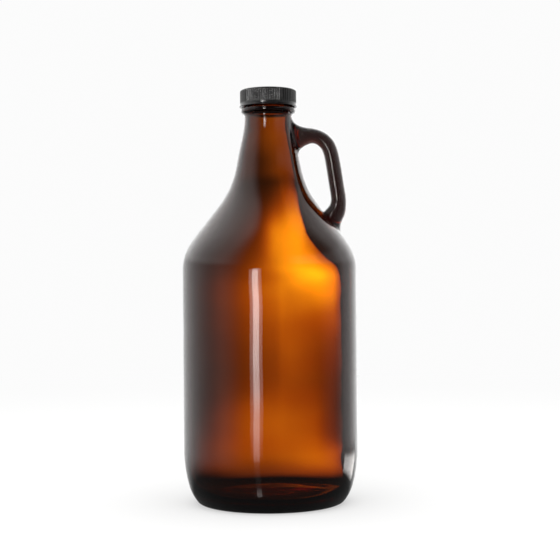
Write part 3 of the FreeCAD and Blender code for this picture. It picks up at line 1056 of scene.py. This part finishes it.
# ============================ surrounds, metres ============================
def surround(name, radius, brightness, ray):
    """Closed drum round the stage that one kind of ray sees."""
    count = 64
    faces = [(i, (i + 1) % count, count + (i + 1) % count, count + i) for i in range(count)]
    faces += [tuple(range(count - 1, -1, -1)), tuple(range(count, 2 * count))]
    ob = stage_mesh(name, circle(radius, count, -radius) + circle(radius, count, radius),
                    faces, rays=(ray,), parent=rig)
    g = stage_graph(ob, name)
    strength = brightness(g, *g.split(g.coords()))
    g.surface(g.shader("ShaderNodeEmission", {"Strength": strength}))


# (azimuth where it starts, where it is full, added brightness); azimuth 0 is towards the
# camera, 180 straight behind
BASE_REFLECTION = 0.045
LEFT_STEPS = ((30.0, 70.0, 0.42), (70.0, 140.0, 0.62))
RIGHT_STEPS = ((62.0, 92.0, 0.14), (90.0, 118.0, 0.60), (118.0, 150.0, 0.62))


def reflected_room(g, x, y, z):
    signed = g.math("ARCTAN2", x, y * -1.0) * DEGREES
    azimuth = abs(signed)

    def climb(steps):
        level = BASE_REFLECTION
        for start, full, amount in steps:
            level = level + amount * g.rise(start, full, azimuth)
        return level

    left, right = climb(LEFT_STEPS), climb(RIGHT_STEPS)
    on_right = g.rise(-8.0, 8.0, signed)
    level = left * (1.0 - on_right) + right * on_right
    # a brighter belt above the bottle on the right, and a brighter upper part on the left
    belt = g.band(z, start=0.38, full=0.60, fade=1.0, end=1.7) * on_right
    level = level + 0.32 * (belt * g.rise(18.0, 45.0, azimuth))
    upper = g.rise(0.38, 0.70, z) * (1.0 - on_right)
    level = level + 0.48 * (upper * g.rise(25.0, 80.0, azimuth))
    # well below the floor everything dims to 0.10
    high = g.rise(-0.75, -0.15, z)
    return level * high + 0.10 * (1.0 - high)


def room_through_glass(g, x, y, z):
    """Nearly dark; a little lighter to the sides, the camera's side and above."""
    from_behind = abs(g.math("ARCTAN2", x, y)) * DEGREES
    level = 0.018 + 0.03 * g.rise(60.0, 110.0, from_behind)
    level = level + g.rise(0.6, 1.8, z) * 0.06
    return level * g.rise(-0.6, 0.0, z)


surround("surround_glossy", 2.2, reflected_room, "glossy")
surround("surround_behind", 2.3, room_through_glass, "transmission")


# ============================ reflected cards, metres ============================
def card_mesh(name, half_width, y, z0, z1, ray):
    corners = [(-half_width, y, z0), (half_width, y, z0), (half_width, y, z1),
               (-half_width, y, z1)]
    return stage_mesh(name, corners, [(0, 1, 2, 3)], rays=(ray,), parent=rig)


def reflected_card(name, azimuth, distance, half_width, z0, z1, brightness, color):
    """Light card that shows only as its own reflection."""
    ob = card_mesh(name, half_width, 0, z0, z1, "glossy")
    ob.location = polar(azimuth, distance, 0.0)
    ob.rotation_euler = (0, 0, math.radians(azimuth))
    g = stage_graph(ob, name)
    x, _, z = g.split(g.coords())
    level = brightness(g, x, z)
    glow = g.shader("ShaderNodeEmission", {"Color": color, "Strength": level})
    clear = g.shader("ShaderNodeBsdfTransparent")
    g.surface(g.shader("ShaderNodeMixShader", (g.math("MINIMUM", level, 1.0), clear, glow)))


# (height on the card, brightness)
SOFTBOX_LEVELS = [
    (-1.10, 0.0), (-0.98, 1.5), (-0.90, 1.5), (-0.70, 0.4), (-0.30, 0.45), (-0.19, 0.7),
    (-0.14, 1.7), (-0.08, 3.7), (-0.01, 6.8), (0.06, 9.0), (0.13, 10.6), (0.188, 9.6),
    (0.202, 0.8), (0.225, 0.8), (0.25, 11.0), (0.42, 11.0), (0.45, 0.7), (0.50, 0.7),
    (0.56, 4.0), (0.62, 10.0), (0.74, 9.0), (0.80, 4.0), (0.86, 0.0)]
SOFTBOX_REACH = 1.17              # level distance from the card back to the glass


def softbox(g, x, z):
    core = g.band(x, start=-0.100, full=-0.080, fade=0.062, end=0.082)
    halo = g.band(x, start=-0.20, full=-0.155, fade=0.135, end=0.19)
    level = g.curve(z, SOFTBOX_LEVELS)
    # a flag keeps the upper half off the barrel: the height a line of sight came from is
    # read back from its slope
    sight_x, sight_y, sight_z = g.split(g.incoming())
    run = g.math("SQRT", sight_x * sight_x + sight_y * sight_y)
    source_z = z + sight_z / g.math("MAXIMUM", run, 0.05) * SOFTBOX_REACH
    flag = g.math("MAXIMUM", g.rise(0.180, 0.205, source_z), g.fall(0.198, 0.206, z))
    return level * flag * (core * 0.76 + halo * 0.24)


def kicker(g, x, z):
    return (g.band(x, start=-0.32, full=-0.25, fade=0.26, end=0.36)
            * g.band(z, start=-0.30, full=-0.21, fade=-0.150, end=-0.060) * 3.6)


reflected_card("softbox", azimuth=-17.3, distance=1.22, half_width=0.22, z0=-1.10, z1=0.86,
               brightness=softbox, color=(1.0, 0.965, 0.94, 1))
reflected_card("kicker", azimuth=126.0, distance=1.0, half_width=0.38, z0=-0.40, z1=0.0,
               brightness=kicker, color=(1.0, 0.98, 0.96, 1))


# ============================ glow cards, metres ============================
# Cards close behind the glass: they are what makes amber glass glow.
def looking_down(g):
    """1 along lines of sight that look well down on the bottle, 0 along level ones."""
    return g.rise(0.17, 0.29, g.split(g.incoming())[2])


def view_limit(g, x, z, side_range, rise_range):
    """How much of a card each line of sight sees, by its direction in the camera's frame."""
    direction = g.new("ShaderNodeVectorTransform", (g.incoming(),), vector_type="VECTOR",
                      convert_from="WORLD", convert_to="CAMERA").outputs[0]
    side, up, _ = g.split(direction)
    seen = g.fall(*side_range, abs(side)) * g.fall(*rise_range, abs(up))
    # right of centre a card is seen only along lines that don't lean in as they go back
    leaning_in = g.rise(0.02, 0.07, side)
    seen = seen * (1.0 - g.rise(0.009, 0.014, x) * leaning_in)
    # low on the card level and climbing lines are dimmed, less so to the right
    dim = g.fall(0.05, 0.11, z) * g.fall(0.0, 0.06, up)
    dim = dim * (1.0 - looking_down(g))
    dim = dim * (1.0 - g.rise(0.0, 0.045, x) * 0.5)
    return seen * (1.0 - dim * 0.90)


def glow_card(name, y, half_width, brightness, side_range, rise_range):
    """Card at y behind the axis, seen only through the glass and near the lens's direction.

    Each range is where the line's slant starts to dim the card and where it hides it."""
    ob = card_mesh(name, half_width, y, -0.16, 0.30, "transmission")
    g = stage_graph(ob, name)
    coords = g.coords()
    x, _, z = g.split(coords)
    level = brightness(g, coords, x, z)
    seen = view_limit(g, x, z, side_range, rise_range)
    # dim parts are redder, bright ones greener
    color = g.mix_color(g.rise(0.2, 1.7, level), (1.0, 0.68, 0.5, 1), (1.0, 1.28, 1.0, 1))
    glow = g.shader("ShaderNodeEmission", {"Color": color, "Strength": level * seen})
    clear = g.shader("ShaderNodeBsdfTransparent")
    g.surface(g.shader("ShaderNodeAddShader", (glow, clear)))


# (height, x of the lit area's right edge)
BODY_EDGE = [
    (0.0, 0.0635), (0.150, 0.0635), (0.160, 0.0622), (0.168, 0.0578), (0.176, 0.0480),
    (0.184, 0.0395), (0.191, 0.0338), (0.197, 0.0300), (0.204, 0.0288), (0.213, 0.0285),
    (0.228, 0.0285), (0.290, 0.0285)]
NECK_EDGE = [
    (0.22, 0.0250), (0.238, 0.0250), (0.246, 0.0240), (0.254, 0.0225), (0.262, 0.0215),
    (0.300, 0.0215)]
# Soft spots: (x, z, spread left, right, down, up, brightness)
BODY_SPOTS = (
    (0.042, 0.164, 0.020, 0.012, 0.010, 0.011, 2.58),
    (0.005, 0.195, 0.008, 0.013, 0.020, 0.014, 0.80),
    (0.008, 0.142, 0.039, 0.006, 0.070, 0.028, 0.53),
    (0.024, 0.202, 0.013, 0.006, 0.028, 0.022, 1.25),
    (0.051, 0.155, 0.052, 0.010, 0.023, 0.009, 1.07),
    (-0.030, 0.022, 0.038, 0.023, 0.010, 0.021, 0.21),
    (0.047, 0.020, 0.042, 0.022, 0.011, 0.014, 0.79),
    (0.031, 0.169, 0.034, 0.010, 0.007, 0.036, 1.15),
    (0.033, 0.039, 0.041, 0.015, 0.014, 0.035, 0.36),
    (-0.009, 0.049, 0.029, 0.048, 0.030, 0.023, 0.44),
    (0.052, 0.158, 0.017, 0.018, 0.069, 0.007, 0.49),
    (0.018, 0.111, 0.008, 0.022, 0.039, 0.063, 0.58))


def soft_spot(g, x, z, spot_x, spot_z, left, right, down, up, brightness):
    """Gaussian spot with its own spread on each side."""
    def spread(offset, below, above):
        return (g.math("MINIMUM", offset, 0.0) / below
                + g.math("MAXIMUM", offset, 0.0) / above)

    across = spread(x - spot_x, left, right)
    upright = spread(z - spot_z, down, up)
    return brightness * g.math("EXPONENT", (across * across + upright * upright) * -1.0)


def body_glow(g, coords, x, z):
    lit = g.fall(-0.0012, 0.0012, x - g.curve(z, BODY_EDGE))
    # the lower edge wavers, and sinks to the right and in views from above
    waver = 0.003 * (g.noise(g.stretch(coords, (1, 0, 0)), scale=70, detail=3) - 0.5)
    sink = looking_down(g) * 0.15
    waver = waver + g.rise(0.0, 0.05, x) * 0.0035
    lit = lit * g.rise(0.0062, 0.0100, z + waver + sink)
    lit = lit * g.fall(0.232, 0.244, z)
    level = 0.0
    for spot in BODY_SPOTS:
        level = level + soft_spot(g, x, z, *spot) * lit
    return level


def neck_glow(g, _coords, x, z):
    lit = g.fall(-0.0008, 0.0008, x - g.curve(z, NECK_EDGE))
    lit = lit * g.fall(0.279, 0.284, z)
    # takes over from the body's card, allowing for the nearer plane
    lit = lit * g.rise(0.2284, 0.2400, z)
    # brighter to the right, lower and upper down the neck
    lower = 0.045 + 0.215 * g.rise(-0.010, 0.014, x)
    upper = 0.085 + 0.235 * g.rise(-0.016, 0.007, x)
    mix = g.rise(0.244, 0.268, z)
    return lit * (lower * (1.0 - mix) + upper * mix)


glow_card("body_card", y=0.070, half_width=0.10, brightness=body_glow,
          side_range=(0.22, 0.36), rise_range=(0.22, 0.32))
glow_card("neck_card", y=0.030, half_width=0.05, brightness=neck_glow,
          side_range=(0.34, 0.46), rise_range=(0.17, 0.23))

# ============================ render settings that belong to the look ============================
scene.view_settings.view_transform = "Standard"
scene.view_settings.look = "None"
scene.view_settings.exposure = 0.0
scene.view_settings.gamma = 1.0
# light has to pass many glass surfaces, so transmission gets the most bounces
scene.cycles.max_bounces = 32
scene.cycles.transmission_bounces = 32
scene.cycles.glossy_bounces = 12
scene.cycles.diffuse_bounces = 4
scene.cycles.transparent_max_bounces = 16
scene.cycles.caustics_reflective = False
scene.cycles.caustics_refractive = True
scene.cycles.sample_clamp_indirect = 6.0
scene.cycles.use_denoising = True
scene.cycles.seed = 7
